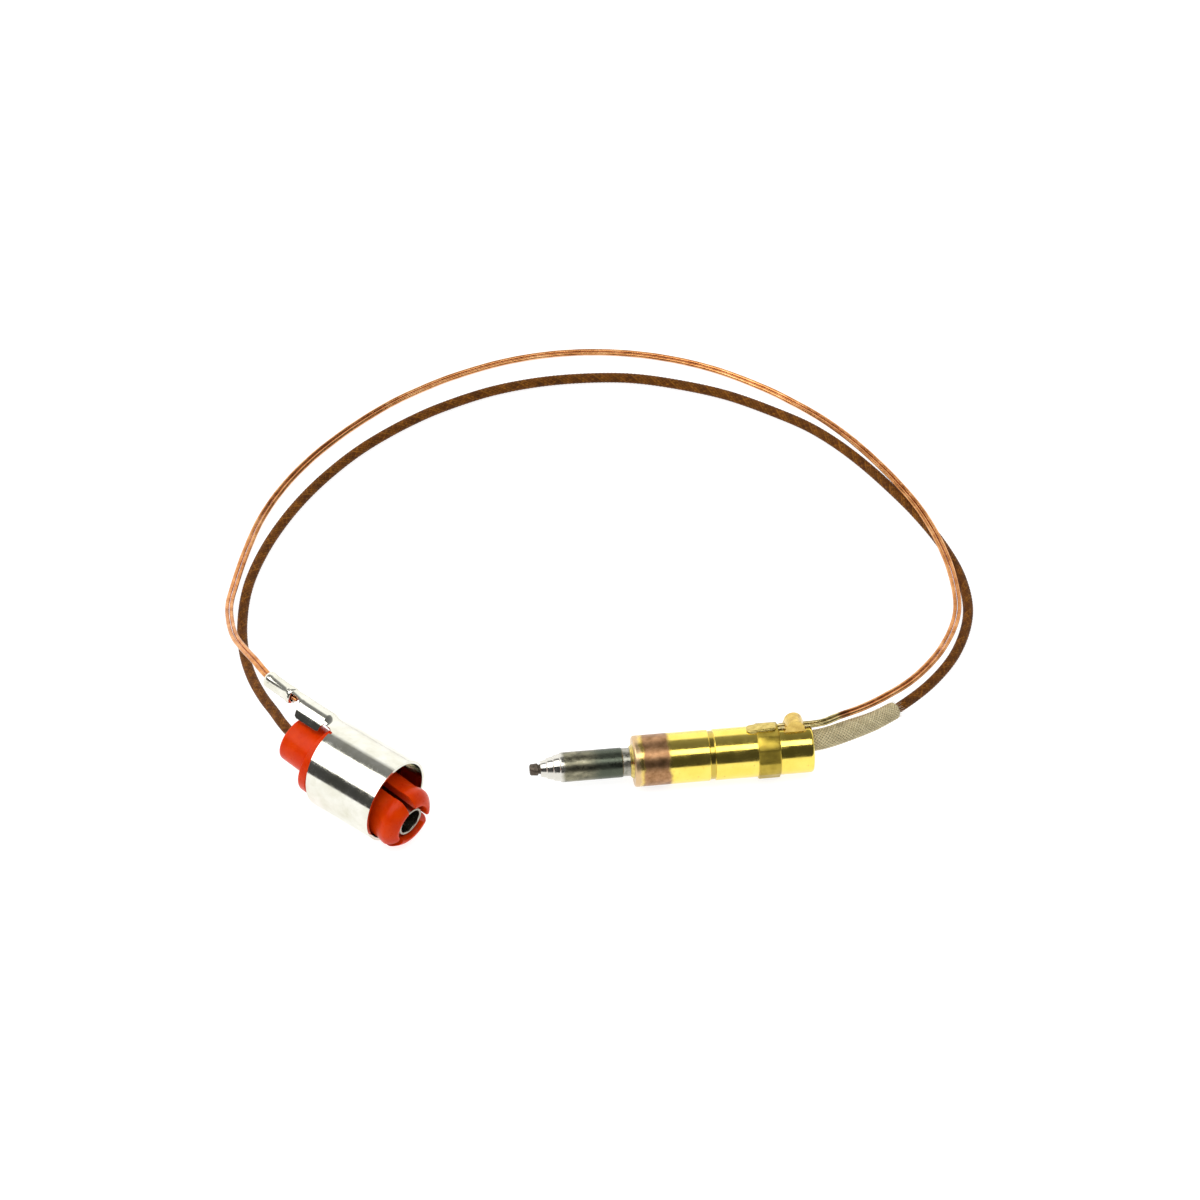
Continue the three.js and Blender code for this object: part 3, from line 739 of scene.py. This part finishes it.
def braided_surface(along, radius, sides, yarns, cell, depth):
    """Radii and shading numbers of a braided tube, its radius a number or one per point along."""
    angles = np.arange(sides) * TURN / sides
    grid_along, grid_angle = np.meshgrid(along, angles, indexing="ij")
    height, tone, across = braid(grid_along, grid_angle, yarns, cell)
    base = np.broadcast_to(np.asarray(radius, dtype=float).reshape(-1, 1), height.shape)
    radii = base - depth * (1 - height)
    values = {"height": height, "tone": tone, "across": across}
    return radii, values


def insulated_lead():
    path, along = smooth_path(LEAD_ROUTE, 0.1)
    radii, values = braided_surface(along, LEAD_RADIUS, **LEAD_WEAVE)
    lead = swept("braided_lead", path, radii, values)
    finish_piece(lead, LEAD_BRAID, "braided_insulation", "insulated_lead")
    return lead, metres(path[::-1], 12)


def glass_sleeve():
    """The thick braid over the lead's last stretch, drawn in a little at its free end."""
    path, along = smooth_path(LEAD_ROUTE[SLEEVE_POINTS], 0.05)
    taper = SLEEVE_FREE_RADIUS + (SLEEVE_RADIUS - SLEEVE_FREE_RADIUS) * smoothstep(along, 0.3, 9)
    mouth = np.clip(along / 0.45, 0, 1)
    taper = taper - 0.3 * (1 - np.sqrt(np.clip(1 - (1 - mouth) ** 2, 0, 1)))
    radii, values = braided_surface(along, taper, **SLEEVE_WEAVE)
    sleeve = swept("braided_sleeve", path, radii, values)
    return finish_piece(sleeve, GLASS_BRAID, "glass_fibre", "glass_fibre_sleeve")


def loose_fibres():
    """Short frayed filaments round the sleeve's free end and along its sides."""
    path, _ = smooth_path(LEAD_ROUTE[SLEEVE_POINTS], 0.1)
    sides, ups = frames_along(path)
    verts, faces = [], []
    for k in range(FRAY.at_end + FRAY.along):
        at_end = k < FRAY.at_end
        spot = 0 if at_end else 6 + (k * 53) % (len(path) - 30)
        angle = k * GOLDEN_ANGLE
        out = sides[spot] * math.cos(angle) + ups[spot] * math.sin(angle)
        back = path[spot] - path[spot + 1]
        back = back / np.linalg.norm(back)
        base_radius = SLEEVE_FREE_RADIUS - 0.16 if at_end else SLEEVE_FREE_RADIUS + 0.02
        start = path[spot] + out * base_radius - back * (0.2 if at_end else 0)
        reach = 0.35 + 0.5 * ((k * 37) % 17) / 17
        lift = 0.12 + 0.3 * ((k * 29) % 13) / 13
        if not at_end:
            reach, lift = reach * 0.8, lift * 0.5
        first = len(verts)
        for step in range(6):
            t = step / 5
            centre = start + back * reach * t + out * lift * t * t
            radius = FRAY.radius * (1 - 0.7 * t)
            across = np.cross(back, out)
            for corner in range(5):
                turn = corner * TURN / 5
                verts.append(centre + (out * math.cos(turn) + across * math.sin(turn)) * radius)
        faces += strip_faces(6, 5, first=first) + end_caps(6, 5, first)
    fibres = mesh_object("sleeve_fray", verts, faces)
    return finish_piece(fibres, GLASS_LOOSE, "glass_fibre")


def ground_wire(name, side):
    """One drawn copper wire of the pair, never quite straight, listed from the probe end."""
    route = []
    for i, point in enumerate(WIRE_ROUTE):
        before, after = WIRE_ROUTE[max(i - 1, 0)], WIRE_ROUTE[min(i + 1, len(WIRE_ROUTE) - 1)]
        level = Vector((after[0] - before[0], after[1] - before[1])).normalized()
        offset = side * WIRE_SPACING / 2
        route.append((point[0] - level.y * offset, point[1] + level.x * offset, point[2]))
    path, along = smooth_path(route[::-1], 0.25)
    angles = np.arange(16) * TURN / 16
    grid_along, grid_angle = np.meshgrid(along, angles, indexing="ij")
    draw = 0.006 * np.sin(grid_along * 1.7 + side) * np.cos(2 * grid_angle + grid_along * 0.3)
    radii = WIRE_RADIUS - 0.004 + draw
    end = np.clip(np.minimum(along, along[-1] - along) / 0.15, 0, 1)
    radii = radii - 0.08 * (1 - np.sqrt(1 - (1 - end) ** 2))[:, None]
    wire = swept(f"copper_{name}", path, radii, {"along": grid_along})
    finish_piece(wire, COPPER, "copper", name)
    return wire, metres(path, 5)


# ======== probe
def hot_junction_bead():
    profile = rounded([
        (0, 0), (0, 0.7, 0.3), (1.0, 0.8, 0.22), (1.02, 0.62, 0.05), (1.3, 0.62), (1.3, 0)], 6)

    def lumpy(station, radius, angle):
        point = (station, radius * math.sin(angle), radius * math.cos(angle))
        return radius * (1 + 0.09 * lumps(point, 0.45, 3.1) - 0.04)

    bead = revolved("weld_bead", profile, PROBE, 64, lumpy, sharp=70)
    return finish_piece(bead, WELD, "scaled_bead", "hot_junction_bead")


def sensing_sheath():
    profile = rounded([
        (1.3, 0.66), (1.3, 0.95, 0.06), (2.0, 1.12, 0.05), (2.08, 1.28, 0.06), (2.8, 1.42, 0.05),
        (2.88, 1.54, 0.06), (3.6, 1.66, 0.05), (3.68, 1.78, 0.06), (3.9, SHEATH_RADIUS, 0.05),
        (11.1, SHEATH_RADIUS, 0.08), (11.25, NECK_RADIUS, 0.06), (17, NECK_RADIUS), (17, 0.66),
        (1.3, 0.66)])

    def worn(station, radius, angle):
        point = (station * 0.6, radius * math.sin(angle), radius * math.cos(angle))
        return radius + (0.012 * lumps(point, 1.2, 5.3) if radius > 1 else 0)

    sheath = revolved("stepped_sheath", profile, PROBE, 96, worn)
    return finish_piece(sheath, STEEL, "heat_tinted_sheath", "sensing_sheath")


def front_braze_ring():
    """A fillet of braze metal that has run unevenly round the neck."""
    bore = NECK_RADIUS + 0.02
    back = BODY_START + 0.02
    profile = rounded([
        (back - 0.42, bore), (back - 0.42, bore + 0.1, 0.08), (back - 0.16, 2.02, 0.16),
        (back, 2.22, 0.05), (back, bore), (back - 0.42, bore)], 5)

    def uneven(station, radius, angle):
        if radius < bore + 0.05:
            return radius
        point = (0, 2 * math.sin(angle), 2 * math.cos(angle))
        return radius + 0.08 * lumps(point, 0.9, 7.7)

    fillet = revolved("front_braze_fillet", profile, PROBE, 96, uneven, sharp=60)
    return finish_piece(fillet, BRAZE, "braze", "front_braze_ring")


def collar_radius(angle):
    """Six flats, one on top, with the corners turned off round."""
    sixth = math.pi / 3
    off_flat = (angle + sixth / 2) % sixth - sixth / 2
    return min(COLLAR.round, COLLAR.flat / math.cos(off_flat))


def body_angles():
    """Even steps round the body, with the two walls of the wire channel picked out."""
    steps = {round(TURN * j / 180, 6) for j in range(180)}
    wall = math.asin(CHANNEL.half / REAR_RADIUS)
    for side in (-wall, wall):
        middle = (side - WIRE_SIDE) % TURN
        steps = {a for a in steps if abs(a - middle) > 0.008}
        steps |= {middle - 0.004, middle + 0.004}
    return sorted(steps)


def brass_body():
    flat_step = 1.0
    start, end = COLLAR.start, COLLAR.end
    groove_floor = BODY_RADIUS - GROOVE.depth
    profile = rounded([
        (BODY_START, SHEATH_RADIUS), (BODY_START, BODY_RADIUS - 0.16, 0.04),
        (BODY_START + 0.16, BODY_RADIUS, 0.1), (GROOVE.start, BODY_RADIUS, 0.05),
        (GROOVE.start + 0.06, groove_floor, 0.05), (GROOVE.end - 0.06, groove_floor, 0.05),
        (GROOVE.end, BODY_RADIUS, 0.05), (start - 0.02, BODY_RADIUS, 0.02),
        (start, BODY_RADIUS + flat_step, 0.0), (start + 0.1, BODY_RADIUS + flat_step),
        (end - 0.1, BODY_RADIUS + flat_step), (end, BODY_RADIUS + flat_step, 0.0),
        (end + 0.04, REAR_RADIUS, 0.02), (BODY_END, REAR_RADIUS, 0.55),
        (BODY_END, CAVITY.radius + 0.05, 0.05), (BODY_END - 0.1, CAVITY.radius),
        (CAVITY.start, CAVITY.radius), (CAVITY.start, SHEATH_RADIUS),
        (BODY_START, SHEATH_RADIUS)], 6)

    def shaped(station, radius, angle):
        if radius > BODY_RADIUS + 0.01:
            edge = min(abs(station - start), abs(station - end))
            return collar_radius(angle) - 0.07 * max(0, 1 - edge / 0.1)
        about = (angle + WIRE_SIDE + math.pi) % TURN - math.pi
        across = radius * math.sin(about)
        in_channel = abs(across) < CHANNEL.half and math.cos(about) > 0
        if station > CHANNEL.start and radius > CAVITY.radius + 0.1 and in_channel:
            return min(radius, CHANNEL.floor / math.cos(about))
        return radius

    body = revolved("turned_brass_body", profile, PROBE, radius_at=shaped, angles=body_angles())
    return finish_piece(body, BRASS, "brass", "brass_body")


def ground_wire_braze():
    """A block with soft edges, lower at the front by the wedge."""
    low, top = LEDGE.low - 0.2, LEDGE.top
    centre = Vector(((LEDGE.start + LEDGE.end) / 2, 0, (low + top) / 2))
    size = (LEDGE.end - LEDGE.start, 2 * LEDGE.half, top - low)
    squareness, wedge = 5.0, 0.22
    verts, rings, sides = [], 28, 56

    def root(value):
        return math.copysign(abs(value) ** (2 / squareness), value)

    for i in range(1, rings):
        up = -math.pi / 2 + math.pi * i / rings
        for j in range(sides):
            turn = TURN * j / sides
            point = Vector((
                root(math.sin(up)) * size[0] / 2,
                root(math.cos(up)) * root(math.cos(turn)) * size[1] / 2,
                root(math.cos(up)) * root(math.sin(turn)) * size[2] / 2))
            point *= 1 + 0.05 * lumps(point + centre, 0.8, 2.2)
            front = 0.5 - point.x / size[0]
            point.z -= wedge * front * (0.5 + point.z / size[2])
            verts.append(tuple(centre + point))
    verts += [(centre.x - size[0] / 2, 0, centre.z), (centre.x + size[0] / 2, 0, centre.z)]
    faces = strip_faces(rings - 1, sides)
    faces += fans(rings - 1, sides, len(verts) - 2, len(verts) - 1)
    pad = mesh_object("wire_braze_pad", verts, faces, AT_WIRES, sharp=80)
    return finish_piece(pad, BRAZE, "braze", "ground_wire_braze")


def copper_clamp_lug():
    """A brass tab over the two ground wires, its top rounded and its foot flared."""
    middle = (LUG.start + LUG.end) / 2
    cap = (LUG.end - LUG.start) / 2 - 0.05
    foot = cap + LUG.flare
    side = [(foot - LUG.flare * k / 5, LUG.low + 0.5 * (k / 5) ** 2) for k in range(1, 6)]
    arc = [math.pi * k / 18 for k in range(19)]
    outline = [(-foot, LUG.low), (foot, LUG.low), *side]
    outline += [(cap * math.cos(a), LUG.top - cap + cap * math.sin(a)) for a in arc]
    outline += [(-x, z) for x, z in reversed(side)]
    verts = [(middle + x, y, z) for y in (-LUG.half, LUG.half) for x, z in outline]
    count = len(outline)
    faces = [tuple(range(count)), tuple(reversed(range(count, 2 * count)))]
    faces += strip_faces(2, count)
    lug = bevelled(mesh_object("clamp_lug", verts, faces, AT_WIRES), 0.16, 4)
    return finish_piece(lug, LUG_METAL, "brass", "copper_clamp_lug")


def rear_bush():
    """The ceramic plug in the body's rear, its hole set high for the sleeve."""
    sides = 72
    front, back = REAR_BUSH.start, REAR_BUSH.end
    outer, bore, rise = REAR_BUSH.radius, REAR_BUSH.bore, REAR_BUSH.rise
    rings = [
        (front, outer, 0), (back - 0.04, outer, 0), (back, outer - 0.03, 0),
        (back, bore + 0.1, rise - 0.09), (back - 0.1, bore, rise), (front, bore, rise)]
    verts = []
    for station, radius, height in rings:
        middle = (-height * math.sin(WIRE_SIDE), height * math.cos(WIRE_SIDE))
        verts += ring(station, radius, sides, middle)
    faces = strip_faces(len(rings), sides, closed_along=True)
    bush = mesh_object("rear_ceramic_bush", verts, faces, PROBE)
    return finish_piece(bush, CERAMIC, "ceramic", "rear_insulating_bush")


# ======== plug
def strap_half(station):
    """How far the strap's sheet reaches either side of its crown line, with ears over the boss."""
    stations = [-18.4, -16.9, -16.4, -16.0, -15.8, -15.7, -15.4, -12.3, -12.0, -11.9, -11.7,
                -11.4, -11.0, -10.5, -10.0]
    halves = [0.8, 0.85, 0.95, 1.3, 2.2, 3.0, 3.2, 3.2, 3.0, 2.4, 1.85, 1.75, 1.75, 1.9, 2.3]
    return float(np.interp(station, stations, halves))


def strap_section(station):
    """Height of the crown, and radius of the trough that the sheet is bent to, at a station."""
    crown = np.interp(
        station, [-18.4, -17.6, -15.5, -11.9, -11.0, -10.3], [6.13, 6.1, 5.95, 5.8, 5.45, 5.3])
    return float(crown), float(np.interp(station, [-17.6, -15.9], [1.0, STRAP.trough]))


def sheet_point(station, round_by):
    """Where the sheet lies, this many millimetres round from the crown line."""
    radius = SHELL.radius
    turn = round_by / radius
    arched = Vector((station, radius * math.sin(turn), radius * math.cos(turn)))
    crown, trough = strap_section(station)
    bend = min(STRAP.bend, abs(round_by) / trough)
    wall = max(0.0, abs(round_by) - trough * STRAP.bend)
    across = trough * math.sin(bend) + wall * math.cos(bend)
    bent = Vector((
        station, math.copysign(across, round_by),
        crown - trough * (1 - math.cos(bend)) - wall * math.sin(bend)))
    share = smoothstep(station, STRAP.arched_to, STRAP.bent_from)
    return arched.lerp(bent, float(share))


def plug_shell():
    """One piece of sheet: rolled round into a shell, with a strap left on behind.

    A row runs round the sheet at one station. The shell's rows go all the way round but for the
    seam. The strap's rows run between its edges, which are bent down over the boss, and a relief
    notch on each side parts them from the shell's rear edge.
    """
    radius, length = SHELL.radius, SHELL.length
    reach = math.pi * radius
    edge = strap_half(-length)
    notch_end = edge + NOTCH.width
    middle = edge + NOTCH.width / 2
    strap_share = np.linspace(-1, 1, 29)
    notch_steps = np.linspace(edge, notch_end, 7)[1:-1]
    side_steps = np.linspace(notch_end, reach - SHELL.seam, 36)
    steps = np.concatenate([
        -side_steps[::-1], -notch_steps[::-1], strap_share * edge, notch_steps, side_steps])
    in_notch = (np.abs(steps) > edge + 1e-6) & (np.abs(steps) < notch_end - 1e-6)
    floor = NOTCH.depth - length
    stations = [0.0, -0.3, *np.linspace(-0.9, floor, 14)]
    floor_row = len(stations) - 1
    stations += [floor - NOTCH.depth * 0.35, floor - NOTCH.depth * 0.7, -length]
    verts, faces, known = [], [], {}

    def corner(key, station, round_by):
        if key not in known:
            known[key] = len(verts)
            verts.append(tuple(sheet_point(station, round_by)))
        return known[key]

    def shell_corner(i, j):
        station = stations[i]
        off = abs(abs(steps[j]) - middle) / (NOTCH.width / 2)
        if i == floor_row and off <= 1.001:
            station += NOTCH.depth / 2 * (math.sqrt(max(0.0, 1 - off * off)) - 0.5)
        round_share = smoothstep(abs(steps[j]), notch_end, reach)
        station *= 1 - REAR_SLANT / length * float(round_share)
        return corner(("shell", i, j), station, steps[j])

    for i in range(len(stations) - 1):
        for j in range(len(steps) - 1):
            if i >= floor_row and (in_notch[j] or in_notch[j + 1]):
                continue
            faces.append((shell_corner(i, j), shell_corner(i, j + 1),
                          shell_corner(i + 1, j + 1), shell_corner(i + 1, j)))

    first = int(np.argmin(np.abs(steps + edge)))
    back = [-length, -10.25, -10.5, -10.8, -11.1, -11.35, -11.55, -11.7, -11.8, -11.88, -11.94]
    back += [-12.0, -12.1, *np.linspace(-12.3, -15.3, 10), -15.4, -15.52, -15.62, -15.7, -15.75]
    back += [-15.8, -15.86, -15.93, -16.0, -16.15, -16.4, -16.65, -16.9, -17.2, -17.6, -18.0, -18.4]

    def strap_corner(i, j):
        if i == 0:
            return shell_corner(len(stations) - 1, first + j)
        return corner(("strap", i, j), back[i], strap_share[j] * strap_half(back[i]))

    for i in range(len(back) - 1):
        for j in range(len(strap_share) - 1):
            faces.append((strap_corner(i, j), strap_corner(i, j + 1),
                          strap_corner(i + 1, j + 1), strap_corner(i + 1, j)))
    shell = mesh_object("rolled_shell", verts, faces, PLUG, sharp=70)
    sheet = shell.modifiers.new("sheet", "SOLIDIFY")
    sheet.thickness = SHELL.wall * MM
    sheet.offset = -1
    sheet.use_even_offset = True
    bevelled(shell, 0.05, 2, 50)
    return finish_piece(shell, NICKEL, "plated_shell", "plug_shell")


def crimp_barrel():
    """The open barrel closed on the wires: two wings curled down to meet along the bottom."""
    length, radius, bore = BARREL.length, BARREL.radius, BARREL.bore
    sides = 72
    lip = [(0.0, 0.90), (0.06, 0.97), (0.16, 1.02), (0.4, 1.04), (0.8, 1.0), (1.2, 0.97)]
    rows = [(-x, scale) for x, scale in lip] + [(x - length, scale) for x, scale in reversed(lip)]
    verts = []

    def outline(angle):
        """Distance from the middle: a groove between two lobes below, and flattened sides."""
        off = angle - math.pi
        groove = 0.30 * math.exp(-((off / 0.16) ** 2))
        lobes = 0.05 * math.exp(-(((abs(off) - 0.55) / 0.3) ** 2))
        flat = 0.07 * math.exp(-(((abs(off) - 1.6) / 0.35) ** 2))
        return radius * (1 - groove + lobes - flat) - 0.02

    for station, scale in rows:
        verts += ring(station, lambda angle: outline(angle) * scale, sides)
    for station in (-length, 0.0):
        verts += ring(station, lambda angle: min(bore, outline(angle) * 0.9 - 0.12), sides)
    faces = strip_faces(len(rows) + 2, sides, closed_along=True)
    barrel = mesh_object("crimp_barrel", verts, faces, CRIMP, sharp=50)
    return finish_piece(barrel, NICKEL, "plated_shell", "plug_shell")


def wire_stubs():
    """The cut ends of the two ground wires, just past the front of the crimp."""
    verts, faces = [], []
    for side in (-1, 1):
        first = len(verts)
        rings = [(-0.6, 0.24), (0.3 + side * 0.07, 0.24), (0.36 + side * 0.07, 0.2)]
        for station, radius in rings:
            verts += ring(station, radius, 16, (side * 0.27, -0.1))
        faces += strip_faces(3, 16, first=first) + end_caps(3, 16, first)
    stubs = mesh_object("cut_wire_ends", verts, faces, CRIMP)
    return finish_piece(stubs, CUT_COPPER, "copper")


def plug_insulator():
    """Boss, flange and seat in one moulding."""
    profile = rounded([
        (BOSS.back, BOSS.hole), (BOSS.back, BOSS.radius, 0.45),
        (FLANGE.back, BOSS.radius, 0.25), (FLANGE.back, FLANGE.radius, 0.12),
        (FLANGE.front, FLANGE.radius, 0.12), (FLANGE.front, CORE.collar_radius, 0.05),
        (CORE.collar_front, CORE.collar_radius, 0.2), (CORE.collar_front, CORE.radius, 0.1),
        (CORE.front, CORE.radius, 0.1), (CORE.front, CONTACT.radius + 0.2, 0.05),
        (-9.5, CONTACT.radius + 0.2), (-9.5, BOSS.hole), (BOSS.back, BOSS.hole)], 6)
    made = revolved("moulded_insulator", profile, INSULATOR, 96, sharp=60)
    return finish_piece(made, ORANGE, "orange_plastic", "plug_insulator")


def snap_finger(index):
    """A third of a slotted tube, with a barb behind its rounded nose."""
    tip = FINGER.tip
    profile = rounded([
        (FINGER.root, FINGER.bore), (FINGER.root, FINGER.radius, 0.1),
        (tip - 2.6, FINGER.radius, 0.3), (tip - 1.8, FINGER.barb, 0.3),
        (tip - 1.0, FINGER.barb, 0.7), (tip, FINGER.radius - 0.75, 0.75),
        (tip, FINGER.bore + 0.1, 0.15), (tip - 0.5, FINGER.bore),
        (FINGER.root, FINGER.bore)], 6)[:-1]
    third = TURN / FINGER_COUNT
    first = FIRST_SLOT_ANGLE + third * index
    steps = 18
    verts = []
    for k in range(steps + 1):
        for station, radius in profile:
            inset = math.asin(FINGER.slot / 2 / radius)
            angle = first + inset + (third - 2 * inset) * k / steps
            verts.append((station, radius * math.cos(angle), radius * math.sin(angle)))
    count = len(profile)
    faces = strip_faces(steps + 1, count)
    faces += [tuple(range(count)), tuple(steps * count + i for i in range(count - 1, -1, -1))]
    finger = mesh_object(f"sprung_finger_{index + 1}", verts, faces, INSULATOR, sharp=50)
    bevelled(finger, 0.12, 3, 50)
    node = f"snap_finger_{index + 1}"
    return finish_piece(finger, ORANGE, "orange_plastic", node, body=f"finger_{index + 1}")


def center_contact():
    tip, radius, bore = CONTACT.tip, CONTACT.radius, CONTACT.bore
    tail = CONTACT_TAIL
    profile = rounded([
        (tail.back, tail.bore), (tail.back, tail.radius, 0.08),
        (CONTACT.back, tail.radius, 0.08), (CONTACT.back, radius, 0.15),
        (tip, radius, 0.14), (tip, bore, 0.16), (CONTACT.floor, bore, 0.1),
        (CONTACT.floor, tail.bore), (tail.back, tail.bore)], 5)
    made = revolved("plated_contact", profile, INSULATOR, 96)
    return finish_piece(made, CONTACT_METAL, "plated_contact", "center_contact")


# ======== build
lead, lead_path = insulated_lead()
sleeve = glass_sleeve()
fray = loose_fibres()
wires = [ground_wire("ground_wire_a", 1), ground_wire("ground_wire_b", -1)]

hot_junction_bead()
sensing_sheath()
front_braze_ring()
brass_body()
ground_wire_braze()
copper_clamp_lug()
rear_bush()

shell = plug_shell()
barrel = crimp_barrel()
stubs = wire_stubs()
insulator = plug_insulator()
fingers = [snap_finger(index) for index in range(FINGER_COUNT)]
contact = center_contact()

INSIDE = {
    "thermoelement_wire": ALLOY,
    "splice_insulator": CERAMIC,
    "core_splice_ferrule": BRAZE,
    "lead_core_probe_end": CUT_COPPER,
    "lead_core_plug_end": CUT_COPPER,
}
for node, material in INSIDE.items():
    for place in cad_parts[node].material_slots:
        place.material = material
